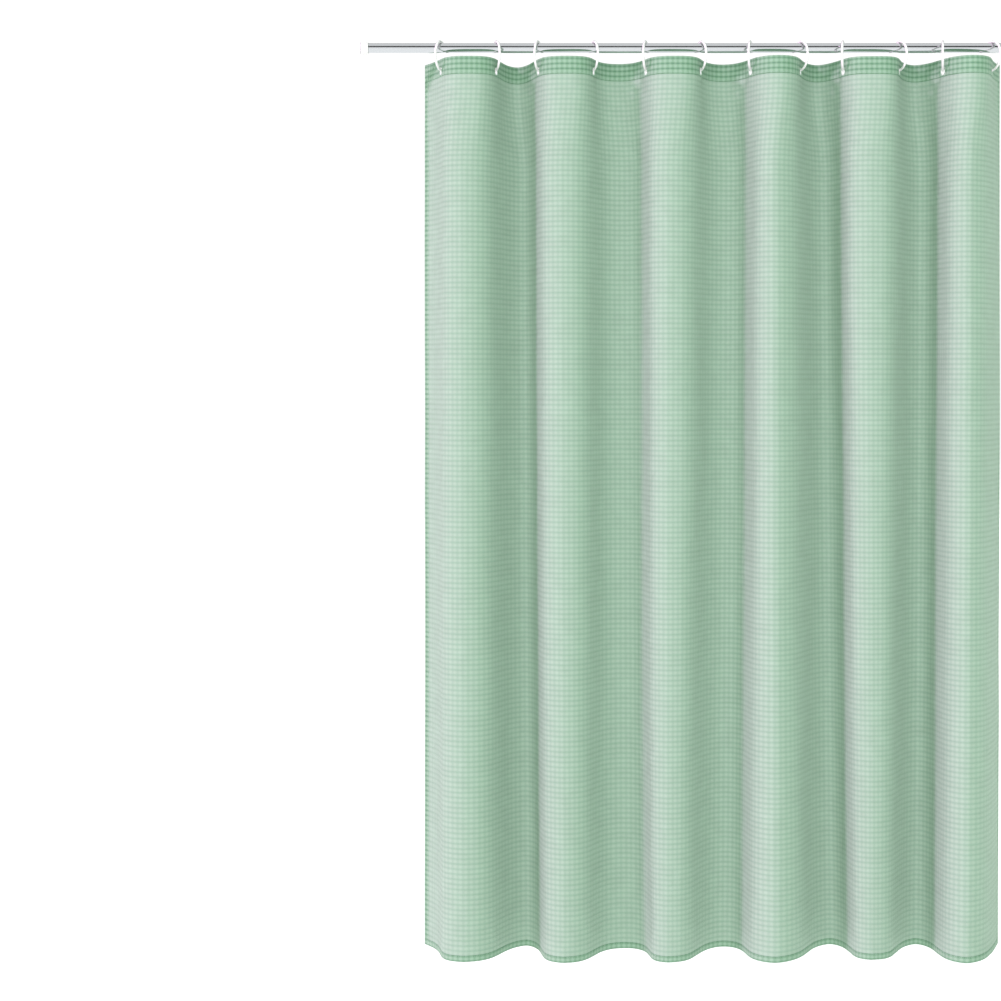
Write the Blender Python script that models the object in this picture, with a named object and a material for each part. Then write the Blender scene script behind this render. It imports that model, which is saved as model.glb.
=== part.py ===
"""Shower curtain hung in pleats from twelve C-rings on a twist-to-grip tension rod.

Metres, +Z up. The origin is the centre of the left wall pad's outer face, +X runs along the
rod to the right-hand wall and the pleated front of the curtain faces -Y.
"""

import math

import bmesh
import bpy
from mathutils import Vector

# Rod
ROD_D = 0.020
TUBE_WALL = 0.001
TUBE_CLEARANCE = 0.0003
TUBE_SIDES = 24
INNER_TUBE_ENGAGED = 0.395
INNER_TUBE_SHOWN = 0.150
COLLAR_BEFORE_LAST_RING = 0.052
COLLAR_LENGTH = 0.018
COLLAR_LIP = 0.002
COLLAR_WALL = 0.0015
SEAT_GAP = 0.0003

# Feet that press on the two walls
FOOT_D = 0.027
FOOT_LENGTH = 0.016
FOOT_SHOULDER = 0.010
FOOT_FLOOR = 0.004
PAD_LENGTH = 0.003
PAD_RIM = 0.0015

# Expander inside the rod: turning the inner tube spreads the split plug on its stud
STUD_D = 0.007
STUD_LENGTH = 0.030
STUD_SEAT_LENGTH = 0.020
STUD_FLANGE = 0.003
PLUG_LENGTH = 0.022
PLUG_SLIT_DEG = 12.0

# Rings
RING_COUNT = 12
WIRE_D = 0.005
RING_OUTER_D = 0.063
BALL_D = 0.0066
RING_START_DEG = -58.0
RING_END_DEG = 258.0
RING_STEP_DEG = 20.0
WIRE_SIDES = 8
FIRST_RING_X = 0.164
# How far each ring is turned about the vertical, alternately to the left and to the right
RING_YAWS_DEG = (20.0, 15.0, 16.0, 15.0, 15.0, 16.0, 16.0, 20.0, 15.0, 18.0, 15.0, 20.0)

# Cloth
CURTAIN_WIDTH = 1.829
CURTAIN_HEIGHT = 1.829
SIDE_MARGIN = 0.0762
CLOTH_THICKNESS = 0.00065
HEM_THICKNESS = 0.0013
HEADER_HEIGHT = 0.036
BOTTOM_HEM_HEIGHT = 0.0125
SIDE_HEM_WIDTH = 0.012
PIECE_GAP = 0.0003
# Width between rings of each fold, from the left; the first fold stands forward, the next goes back
FOLD_WIDTHS = (0.113, 0.086, 0.113, 0.107, 0.112, 0.102, 0.102, 0.087, 0.115, 0.089, 0.100)
FLANK_DEG = 69.0
EDGE_DEG = 56.0
STEPS_PER_FOLD = 10
FINE_STEPS = 96

# Buttonholes
HOLE_BELOW_EDGE = 0.018
HOLE_STRAIGHT = 0.001
HOLE_CLEARANCE = 0.0003
# The round upper end of the hole is centred this far below the wire's centre
HOLE_CENTRE_DROP = 0.00175
STITCH_WIDTH = 0.0022
STITCH_THICKNESS = 0.0016
HOLE_ARC_STEPS = 8

# Fits worked out from the values above
ROD_RADIUS = ROD_D / 2
ROD_BORE = ROD_RADIUS - TUBE_WALL
INNER_RADIUS = ROD_BORE - TUBE_CLEARANCE
INNER_BORE = INNER_RADIUS - TUBE_WALL
WIRE_RADIUS = WIRE_D / 2
RING_RADIUS = RING_OUTER_D / 2 - WIRE_RADIUS
RING_Z = ROD_RADIUS + SEAT_GAP - (RING_RADIUS - WIRE_RADIUS)
RING_LOW_Z = RING_Z - RING_RADIUS
HOLE_PITCH = (CURTAIN_WIDTH - 2 * SIDE_MARGIN) / (RING_COUNT - 1)
FLANK = math.radians(FLANK_DEG)
EDGE = math.radians(EDGE_DEG)
# The ring crosses the cloth at its flattest angle where it is turned least
CROSSING = math.radians(90 - FLANK_DEG + min(RING_YAWS_DEG))
# The wire comes nearest to the hole's edge on the rim's outer face, a little above its own middle
SHOULDER = math.radians(20)
SHOULDER_REACH = (
    WIRE_RADIUS * math.cos(SHOULDER) / math.sin(CROSSING)
    + STITCH_THICKNESS / 2 / math.tan(CROSSING)
)
SHOULDER_RISE = SHOULDER_REACH**2 / (2 * RING_RADIUS)
SHOULDER_HEIGHT = WIRE_RADIUS * math.sin(SHOULDER) + HOLE_CENTRE_DROP + SHOULDER_RISE
HOLE_HALF_WIDTH = math.hypot(SHOULDER_REACH, SHOULDER_HEIGHT) + HOLE_CLEARANCE
HOLE_Z = RING_LOW_Z - HOLE_CENTRE_DROP - HOLE_STRAIGHT / 2
HOLE_TOP_Z = HOLE_Z + HOLE_STRAIGHT / 2 + HOLE_HALF_WIDTH
CLOTH_TOP_Z = HOLE_TOP_Z + HOLE_BELOW_EDGE
CLOTH_LOW_Z = CLOTH_TOP_Z - CURTAIN_HEIGHT
HEADER_LOW_Z = CLOTH_TOP_Z - HEADER_HEIGHT
COLLAR_X = FIRST_RING_X + sum(FOLD_WIDTHS) + COLLAR_BEFORE_LAST_RING
ROD_LENGTH = COLLAR_X + INNER_TUBE_SHOWN + FOOT_FLOOR


def clear_scene():
    for obj in list(bpy.data.objects):
        bpy.data.objects.remove(obj, do_unlink=True)


def material(name, color, roughness, metallic=0.0):
    made = bpy.data.materials.new(name)
    made.use_nodes = True
    shader = made.node_tree.nodes["Principled BSDF"]
    shader.inputs["Base Color"].default_value = (*color, 1.0)
    shader.inputs["Roughness"].default_value = roughness
    shader.inputs["Metallic"].default_value = metallic
    return made


def add_object(name, bm, finish, smooth_deg=None):
    """Turn a bmesh into a named object with one material; round pieces are shaded smooth."""
    bmesh.ops.recalc_face_normals(bm, faces=bm.faces)
    mesh = bpy.data.meshes.new(name)
    bm.to_mesh(mesh)
    bm.free()
    mesh.materials.append(finish)
    if smooth_deg is not None:
        mesh.shade_smooth()
        mesh.set_sharp_from_angle(angle=math.radians(smooth_deg))
    obj = bpy.data.objects.new(name, mesh)
    bpy.context.scene.collection.objects.link(obj)
    return obj


# ---------------------------------------------------------------- rod


def turned(name, profile, finish, bored=True):
    """Spin an outline of (x, radius) points about the X axis.

    A bored piece's outline is closed; a solid one's starts and ends on the axis.
    """
    bm = bmesh.new()
    corners = [bm.verts.new((x, 0.0, radius)) for x, radius in profile]
    ends = corners[1:] + corners[:1] if bored else corners[1:]
    edges = [bm.edges.new(pair) for pair in zip(corners, ends)]
    bmesh.ops.spin(
        bm,
        geom=corners + edges,
        cent=(0.0, 0.0, 0.0),
        axis=(1.0, 0.0, 0.0),
        angle=2 * math.pi,
        steps=TUBE_SIDES,
        use_merge=True,
    )
    bmesh.ops.remove_doubles(bm, verts=bm.verts, dist=1e-6)
    bmesh.ops.dissolve_degenerate(bm, edges=bm.edges, dist=1e-7)
    return add_object(name, bm, finish, smooth_deg=35)


def tube(name, start, end, outer, inner, finish):
    return turned(name, [(start, inner), (end, inner), (end, outer), (start, outer)], finish)


def foot(side, wall_x, inward, tube_radius, cup_finish, pad_finish):
    """A plastic cup over the tube's end, with a rubber pad seated in its outer face."""
    pad_radius = FOOT_D / 2 - PAD_RIM - SEAT_GAP
    rim_start = PAD_LENGTH / 2
    socket = tube_radius + TUBE_CLEARANCE

    def at(distance):
        return wall_x + inward * distance

    turned(
        f"foot_pad_{side}",
        [(at(0.0), 0.0), (at(0.0), pad_radius), (at(PAD_LENGTH), pad_radius), (at(PAD_LENGTH), 0.0)],
        pad_finish,
        bored=False,
    )
    turned(
        f"foot_cup_{side}",
        [
            (at(PAD_LENGTH + SEAT_GAP), 0.0),
            (at(PAD_LENGTH + SEAT_GAP), pad_radius + SEAT_GAP),
            (at(rim_start), pad_radius + SEAT_GAP),
            (at(rim_start), FOOT_D / 2),
            (at(FOOT_SHOULDER), FOOT_D / 2),
            (at(FOOT_LENGTH), socket + COLLAR_WALL),
            (at(FOOT_LENGTH), socket),
            (at(PAD_LENGTH + FOOT_FLOOR), socket),
            (at(PAD_LENGTH + FOOT_FLOOR), 0.0),
        ],
        cup_finish,
        bored=False,
    )


def build_rod(steel, plastic, rubber):
    tube_start = PAD_LENGTH + FOOT_FLOOR + SEAT_GAP
    inner_end = ROD_LENGTH - PAD_LENGTH - FOOT_FLOOR - SEAT_GAP
    inner_start = COLLAR_X - INNER_TUBE_ENGAGED
    tube("rod_outer_tube", tube_start, COLLAR_X, ROD_RADIUS, ROD_BORE, steel)
    tube("rod_inner_tube", inner_start, inner_end, INNER_RADIUS, INNER_BORE, steel)
    foot("left", 0.0, 1, ROD_RADIUS, plastic, rubber)
    foot("right", ROD_LENGTH, -1, INNER_RADIUS, plastic, rubber)
    sleeve = ROD_RADIUS + TUBE_CLEARANCE
    lip = INNER_RADIUS + TUBE_CLEARANCE
    shoulder_x = COLLAR_X + SEAT_GAP
    turned(
        "step_collar",
        [
            (COLLAR_X - COLLAR_LENGTH, sleeve),
            (shoulder_x, sleeve),
            (shoulder_x, lip),
            (shoulder_x + COLLAR_LIP, lip),
            (shoulder_x + COLLAR_LIP, lip + COLLAR_WALL),
            (shoulder_x, sleeve + COLLAR_WALL),
            (COLLAR_X - COLLAR_LENGTH, sleeve + COLLAR_WALL),
        ],
        plastic,
    )
    build_expander(inner_start, plastic, steel)


def build_expander(inner_start, plastic, steel):
    """The stud is fixed in the inner tube's end; the split plug round it grips the outer tube."""
    seat_radius = INNER_BORE - TUBE_CLEARANCE
    flange_x = inner_start - SEAT_GAP
    turned(
        "expander_stud",
        [
            (flange_x - STUD_FLANGE - STUD_LENGTH, 0.0),
            (flange_x - STUD_FLANGE - STUD_LENGTH, STUD_D / 2),
            (flange_x - STUD_FLANGE, STUD_D / 2),
            (flange_x - STUD_FLANGE, seat_radius),
            (flange_x, seat_radius),
            (flange_x + STUD_SEAT_LENGTH, seat_radius),
            (flange_x + STUD_SEAT_LENGTH, 0.0),
        ],
        steel,
        bored=False,
    )
    plug_end = flange_x - STUD_FLANGE - SEAT_GAP
    build_plug(plug_end - PLUG_LENGTH, plug_end, plastic)


def build_plug(start, end, finish):
    """A sleeve with one slit along it, so that it can spread."""
    outer = ROD_BORE - TUBE_CLEARANCE
    bore = STUD_D / 2 + TUBE_CLEARANCE
    slit = math.radians(PLUG_SLIT_DEG)
    bm = bmesh.new()
    sections = []
    for step in range(TUBE_SIDES + 1):
        angle = slit / 2 + (2 * math.pi - slit) * step / TUBE_SIDES
        across = Vector((0.0, math.sin(angle), math.cos(angle)))
        section = [
            bm.verts.new(Vector((x, 0.0, 0.0)) + across * radius)
            for x, radius in ((start, bore), (end, bore), (end, outer), (start, outer))
        ]
        sections.append(section)
    skin(bm, sections)
    return add_object("expander_plug", bm, finish, smooth_deg=35)


def skin(bm, sections):
    """Join sections of equal length into a closed tube, with a face over each end."""
    count = len(sections[0])
    for low, high in zip(sections, sections[1:]):
        for i in range(count):
            j = (i + 1) % count
            bm.faces.new((low[i], low[j], high[j], high[i]))
    bm.faces.new(sections[0])
    bm.faces.new(list(reversed(sections[-1])))


# ---------------------------------------------------------------- rings


def ring_positions():
    places = [FIRST_RING_X]
    for width in FOLD_WIDTHS:
        places.append(places[-1] + width)
    return places


def ring_stations():
    """(angle round the ring, wire radius) from one ball tip to the other."""
    ball = BALL_D / 2
    start = math.radians(RING_START_DEG)
    end = math.radians(RING_END_DEG)
    neck = math.sqrt(ball**2 - WIRE_RADIUS**2) / RING_RADIUS
    turns = [math.pi / 6, math.pi / 3, math.pi / 2]
    tip = [(-ball * math.cos(turn) / RING_RADIUS, ball * math.sin(turn)) for turn in turns]
    stations = [(start + offset, radius) for offset, radius in tip]
    wire_steps = round((RING_END_DEG - RING_START_DEG) / RING_STEP_DEG)
    first, last = start + neck, end - neck
    for step in range(wire_steps + 1):
        stations.append((first + (last - first) * step / wire_steps, WIRE_RADIUS))
    stations.extend((end - offset, radius) for offset, radius in reversed(tip))
    return stations, start - ball / RING_RADIUS, end + ball / RING_RADIUS


def build_ring(index, ring_x, finish):
    yaw = math.radians(RING_YAWS_DEG[index])
    side = -1 if index % 2 == 0 else 1
    front = Vector((side * math.sin(yaw), -math.cos(yaw), 0.0))
    up = Vector((0.0, 0.0, 1.0))
    across = up.cross(front)
    centre = Vector((ring_x, 0.0, RING_Z))

    def along(angle):
        return up * math.cos(angle) + front * math.sin(angle)

    stations, first_tip, last_tip = ring_stations()
    bm = bmesh.new()
    sections = []
    for angle, radius in stations:
        outward = along(angle)
        section = []
        for i in range(WIRE_SIDES):
            turn = 2 * math.pi * i / WIRE_SIDES
            offset = outward * math.cos(turn) + across * math.sin(turn)
            section.append(bm.verts.new(centre + outward * RING_RADIUS + offset * radius))
        sections.append(section)
    for low, high in zip(sections, sections[1:]):
        for i in range(WIRE_SIDES):
            j = (i + 1) % WIRE_SIDES
            bm.faces.new((low[i], low[j], high[j], high[i]))
    for angle, section in ((first_tip, sections[0]), (last_tip, sections[-1])):
        pole = bm.verts.new(centre + along(angle) * RING_RADIUS)
        for i in range(WIRE_SIDES):
            bm.faces.new((section[i], section[(i + 1) % WIRE_SIDES], pole))
    return add_object(f"ring_{index + 1:02d}", bm, finish, smooth_deg=60)


# ---------------------------------------------------------------- cloth


def fold_angle(share, power):
    """The cloth's slope at a share of the way round a fold: steep, level at the middle, steep."""
    turn = math.cos(math.pi * share)
    return math.copysign(FLANK * abs(turn) ** power, turn)


def fold_width(power):
    step = HOLE_PITCH / FINE_STEPS
    return sum(math.cos(fold_angle((i + 0.5) / FINE_STEPS, power)) * step for i in range(FINE_STEPS))


def fold_power(width):
    """How bluntly a fold turns, for its cloth to span the width between its two rings."""
    low, high = 0.02, 60.0
    for _ in range(50):
        middle = math.sqrt(low * high)
        if fold_width(middle) < width:
            low = middle
        else:
            high = middle
    return low


class ClothPath:
    """The line that the cloth follows, seen from above, by distance along the cloth."""

    def __init__(self):
        self.powers = [fold_power(width) for width in FOLD_WIDTHS]
        self.step = HOLE_PITCH / FINE_STEPS
        start = Vector((FIRST_RING_X, 0.0))
        self.right = self.walk(start, CURTAIN_WIDTH - SIDE_MARGIN, 1)
        self.left = self.walk(start, SIDE_MARGIN, -1)

    def angle(self, distance):
        """Heading at a distance from the first ring; negative headings come forward."""
        fold = math.floor(distance / HOLE_PITCH)
        if distance < 0:
            return -(FLANK + (EDGE - FLANK) * -distance / SIDE_MARGIN)
        if fold >= len(FOLD_WIDTHS):
            past = distance - HOLE_PITCH * len(FOLD_WIDTHS)
            return FLANK + (EDGE - FLANK) * past / SIDE_MARGIN
        forward = -1 if fold % 2 == 0 else 1
        return forward * fold_angle(distance / HOLE_PITCH - fold, self.powers[fold])

    def walk(self, start, length, direction):
        """Points at every step from the first ring to one side edge."""
        points = [start]
        for i in range(math.ceil(length / self.step) + 1):
            angle = self.angle(direction * (i + 0.5) * self.step)
            move = Vector((math.cos(angle), math.sin(angle))) * self.step * direction
            points.append(points[-1] + move)
        return points

    def point(self, distance):
        points = self.right if distance >= 0 else self.left
        place = abs(distance) / self.step
        low = min(int(place), len(points) - 2)
        return points[low].lerp(points[low + 1], place - low)

    def tangent(self, distance):
        angle = self.angle(distance)
        return Vector((math.cos(angle), math.sin(angle)))


def strip(name, path, first, last, low_z, high_z, thickness, finish):
    """A closed band of cloth that follows the path from one distance to another."""
    steps = max(1, round((last - first) / HOLE_PITCH * STEPS_PER_FOLD))
    bm = bmesh.new()
    sections = []
    for i in range(steps + 1):
        distance = first + (last - first) * i / steps
        place = path.point(distance)
        tangent = path.tangent(distance)
        side = Vector((-tangent.y, tangent.x)) * (thickness / 2)
        section = []
        for sign, z in ((-1, low_z), (1, low_z), (1, high_z), (-1, high_z)):
            corner = place + side * sign
            section.append(bm.verts.new((corner.x, corner.y, z)))
        sections.append(section)
    skin(bm, sections)
    return add_object(name, bm, finish, smooth_deg=50)


def slot_outline(half_width, straight):
    """Points of an upright slot with round ends, counter-clockwise, centred on its middle."""
    points = []
    for centre_z, start in ((straight / 2, 0.0), (-straight / 2, math.pi)):
        for step in range(HOLE_ARC_STEPS + 1):
            angle = start + math.pi * step / HOLE_ARC_STEPS
            points.append((half_width * math.cos(angle), centre_z + half_width * math.sin(angle)))
    return points


def hole_frame(path, index):
    distance = index * HOLE_PITCH
    place = path.point(distance)
    along = path.tangent(distance).to_3d()
    normal = along.cross(Vector((0.0, 0.0, 1.0)))
    return Vector((place.x, place.y, HOLE_Z)), along, normal


def cut_hole(header, path, index):
    """Cut one buttonhole through the header, a gap wider than the stitching that lines it."""
    centre, along, normal = hole_frame(path, index)
    reach = HEM_THICKNESS * 4
    outline = slot_outline(HOLE_HALF_WIDTH + STITCH_WIDTH + PIECE_GAP, HOLE_STRAIGHT)
    bm = bmesh.new()
    near, far = [
        [bm.verts.new(centre + along * a + Vector((0, 0, b)) + normal * depth) for a, b in outline]
        for depth in (-reach, reach)
    ]
    skin(bm, [near, far])
    cutter = add_object(f"cutter_{index + 1:02d}", bm, header.data.materials[0])
    cutter.hide_render = True
    cutter.display_type = "WIRE"
    cut = header.modifiers.new(cutter.name, "BOOLEAN")
    cut.operation = "DIFFERENCE"
    cut.solver = "EXACT"
    cut.object = cutter


def build_buttonhole(path, index, finish):
    """The stitched rim that lines one hole in the header."""
    centre, along, normal = hole_frame(path, index)
    inner = slot_outline(HOLE_HALF_WIDTH, HOLE_STRAIGHT)
    outer = slot_outline(HOLE_HALF_WIDTH + STITCH_WIDTH, HOLE_STRAIGHT)
    half = STITCH_THICKNESS / 2
    bm = bmesh.new()
    loops = []
    for outline, depth in ((inner, -half), (outer, -half), (outer, half), (inner, half)):
        loops.append(
            [bm.verts.new(centre + along * a + Vector((0, 0, b)) + normal * depth) for a, b in outline]
        )
    for low, high in zip(loops, loops[1:] + loops[:1]):
        for i in range(len(low)):
            j = (i + 1) % len(low)
            bm.faces.new((low[i], low[j], high[j], high[i]))
    return add_object(f"buttonhole_{index + 1:02d}", bm, finish, smooth_deg=50)


def build_cloth(cloth, thread):
    path = ClothPath()
    left = -SIDE_MARGIN
    right = CURTAIN_WIDTH - SIDE_MARGIN
    header = strip(
        "header_hem", path, left, right, HEADER_LOW_Z, CLOTH_TOP_Z, HEM_THICKNESS, cloth
    )
    for index in range(RING_COUNT):
        cut_hole(header, path, index)
        build_buttonhole(path, index, thread)
    hem_top = CLOTH_LOW_Z + BOTTOM_HEM_HEIGHT
    strip("bottom_hem", path, left, right, CLOTH_LOW_Z, hem_top, HEM_THICKNESS, cloth)
    low_z = hem_top + PIECE_GAP
    high_z = HEADER_LOW_Z - PIECE_GAP
    left_hem_end = left + SIDE_HEM_WIDTH
    right_hem_start = right - SIDE_HEM_WIDTH
    strip("side_hem_left", path, left, left_hem_end, low_z, high_z, HEM_THICKNESS, cloth)
    strip("side_hem_right", path, right_hem_start, right, low_z, high_z, HEM_THICKNESS, cloth)
    strip(
        "curtain_panel",
        path,
        left_hem_end + PIECE_GAP,
        right_hem_start - PIECE_GAP,
        low_z,
        high_z,
        CLOTH_THICKNESS,
        cloth,
    )


def main():
    clear_scene()
    steel = material("polished steel", (0.78, 0.78, 0.80), 0.12, 1.0)
    white_plastic = material("white ring plastic", (0.90, 0.91, 0.90), 0.22)
    grey_plastic = material("grey fitting plastic", (0.62, 0.63, 0.64), 0.35)
    rubber = material("pad rubber", (0.16, 0.16, 0.17), 0.8)
    cloth = material("waffle cloth", (0.42, 0.64, 0.49), 0.85)
    thread = material("stitching thread", (0.36, 0.58, 0.43), 0.8)
    build_rod(steel, grey_plastic, rubber)
    for index, ring_x in enumerate(ring_positions()):
        build_ring(index, ring_x, white_plastic)
    build_cloth(cloth, thread)


main()
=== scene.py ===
"""Shower curtain on a tension rod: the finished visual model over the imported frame.

A pale green waffle-weave curtain, 72 inches square, hangs in soft pleats from twelve
C-shaped rings on a telescoping rod. Metres, +Z up; the pleated front faces -Y.
"""

from __future__ import annotations

import logging
import math
from dataclasses import dataclass, field
from enum import Enum
from typing import Iterable, Sequence

import bmesh
import bpy
from mathutils import Matrix, Vector, noise

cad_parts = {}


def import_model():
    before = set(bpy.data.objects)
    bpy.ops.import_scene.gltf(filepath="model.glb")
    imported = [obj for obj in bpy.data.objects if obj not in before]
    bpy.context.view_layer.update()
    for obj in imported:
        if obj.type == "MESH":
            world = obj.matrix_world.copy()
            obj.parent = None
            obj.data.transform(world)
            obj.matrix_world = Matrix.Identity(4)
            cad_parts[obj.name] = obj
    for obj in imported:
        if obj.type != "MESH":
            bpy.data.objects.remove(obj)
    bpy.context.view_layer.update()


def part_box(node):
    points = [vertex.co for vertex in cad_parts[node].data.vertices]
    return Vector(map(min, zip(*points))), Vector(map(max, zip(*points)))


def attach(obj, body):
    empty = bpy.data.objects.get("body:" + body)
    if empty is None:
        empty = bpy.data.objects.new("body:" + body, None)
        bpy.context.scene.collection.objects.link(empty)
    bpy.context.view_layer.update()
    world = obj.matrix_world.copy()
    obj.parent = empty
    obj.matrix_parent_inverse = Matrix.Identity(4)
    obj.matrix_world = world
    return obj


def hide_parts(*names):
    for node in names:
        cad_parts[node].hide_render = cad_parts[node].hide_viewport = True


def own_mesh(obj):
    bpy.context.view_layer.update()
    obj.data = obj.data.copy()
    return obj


LOG = logging.getLogger("shower_curtain")
MM = 0.001

Colour = tuple[float, float, float, float]
Tree = bpy.types.NodeTree
Socket = bpy.types.NodeSocket
Finish = bpy.types.Material
Piece = bpy.types.Object


# ---------------------------------------------------------------- materials


class Slot(Enum):
    """The record's material slots."""

    STEEL = "tube_steel"
    FITTING = "fitting_plastic"
    RING = "ring_plastic"
    RUBBER = "pad_rubber"
    CLOTH = "cloth"
    STITCHING = "stitching"


def linear(hex_colour: str) -> Colour:
    """Turn an sRGB hex colour into linear light.

    Args:
        hex_colour: Six hex digits after a hash.

    Returns:
        Red, green, blue and an alpha of 1.
    """
    channels = [int(hex_colour[i : i + 2], 16) / 255 for i in (1, 3, 5)]
    red, green, blue = (
        c / 12.92 if c <= 0.04045 else ((c + 0.055) / 1.055) ** 2.4 for c in channels
    )
    return (red, green, blue, 1.0)


def add_node(
    tree: Tree, kind: str, inputs: dict | None = None, **settings: object
) -> bpy.types.Node:
    """Add a node with its settings and its inputs.

    Args:
        tree: The node tree that gets the node.
        kind: The node's type name after ShaderNode.
        inputs: A value or an output socket for each input, by name or number.
        settings: The node's own properties.

    Returns:
        The new node.
    """
    node = tree.nodes.new("ShaderNode" + kind)
    for name, value in settings.items():
        setattr(node, name, value)
    for key, value in (inputs or {}).items():
        if isinstance(value, Socket):
            tree.links.new(value, node.inputs[key])
        else:
            node.inputs[key].default_value = value
    return node


def new_material(name: str) -> tuple[Finish, Tree, bpy.types.Node]:
    """Make an empty node material with one Principled shader.

    Args:
        name: The real material and how its surface was made.

    Returns:
        The material, its node tree and its shader.
    """
    made = bpy.data.materials.new(name)
    made.use_nodes = True
    tree = made.node_tree
    return made, tree, tree.nodes["Principled BSDF"]


def surface(
    tree: Tree,
    shader: bpy.types.Node,
    tones: tuple[Socket, str, str],
    relief: tuple[Socket, float, float],
    roughness: float = 0.0,
) -> None:
    """Colour a shader between two tones, raise its relief and vary its gloss with it.

    Args:
        tree: The material's nodes.
        shader: Its shader.
        tones: A mask, and the hex colours where it is 0 and 1.
        relief: A height mask, how far it stands out in millimetres, and its strength.
        roughness: The middle roughness, or 0 for one that the caller sets.
    """
    mask, low, high = tones
    height, depth_mm, strength = relief
    colours = {0: mask, 6: linear(low), 7: linear(high)}
    tone = add_node(tree, "Mix", colours, data_type="RGBA")
    tree.links.new(tone.outputs[2], shader.inputs["Base Color"])
    if roughness:
        spread = {"Value": height, "To Min": roughness * 0.8, "To Max": roughness * 1.2}
        gloss = add_node(tree, "MapRange", spread)
        tree.links.new(gloss.outputs[0], shader.inputs["Roughness"])
    raised = {"Height": height, "Distance": depth_mm * MM, "Strength": strength}
    bump = add_node(tree, "Bump", raised)
    tree.links.new(bump.outputs[0], shader.inputs["Normal"])


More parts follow.
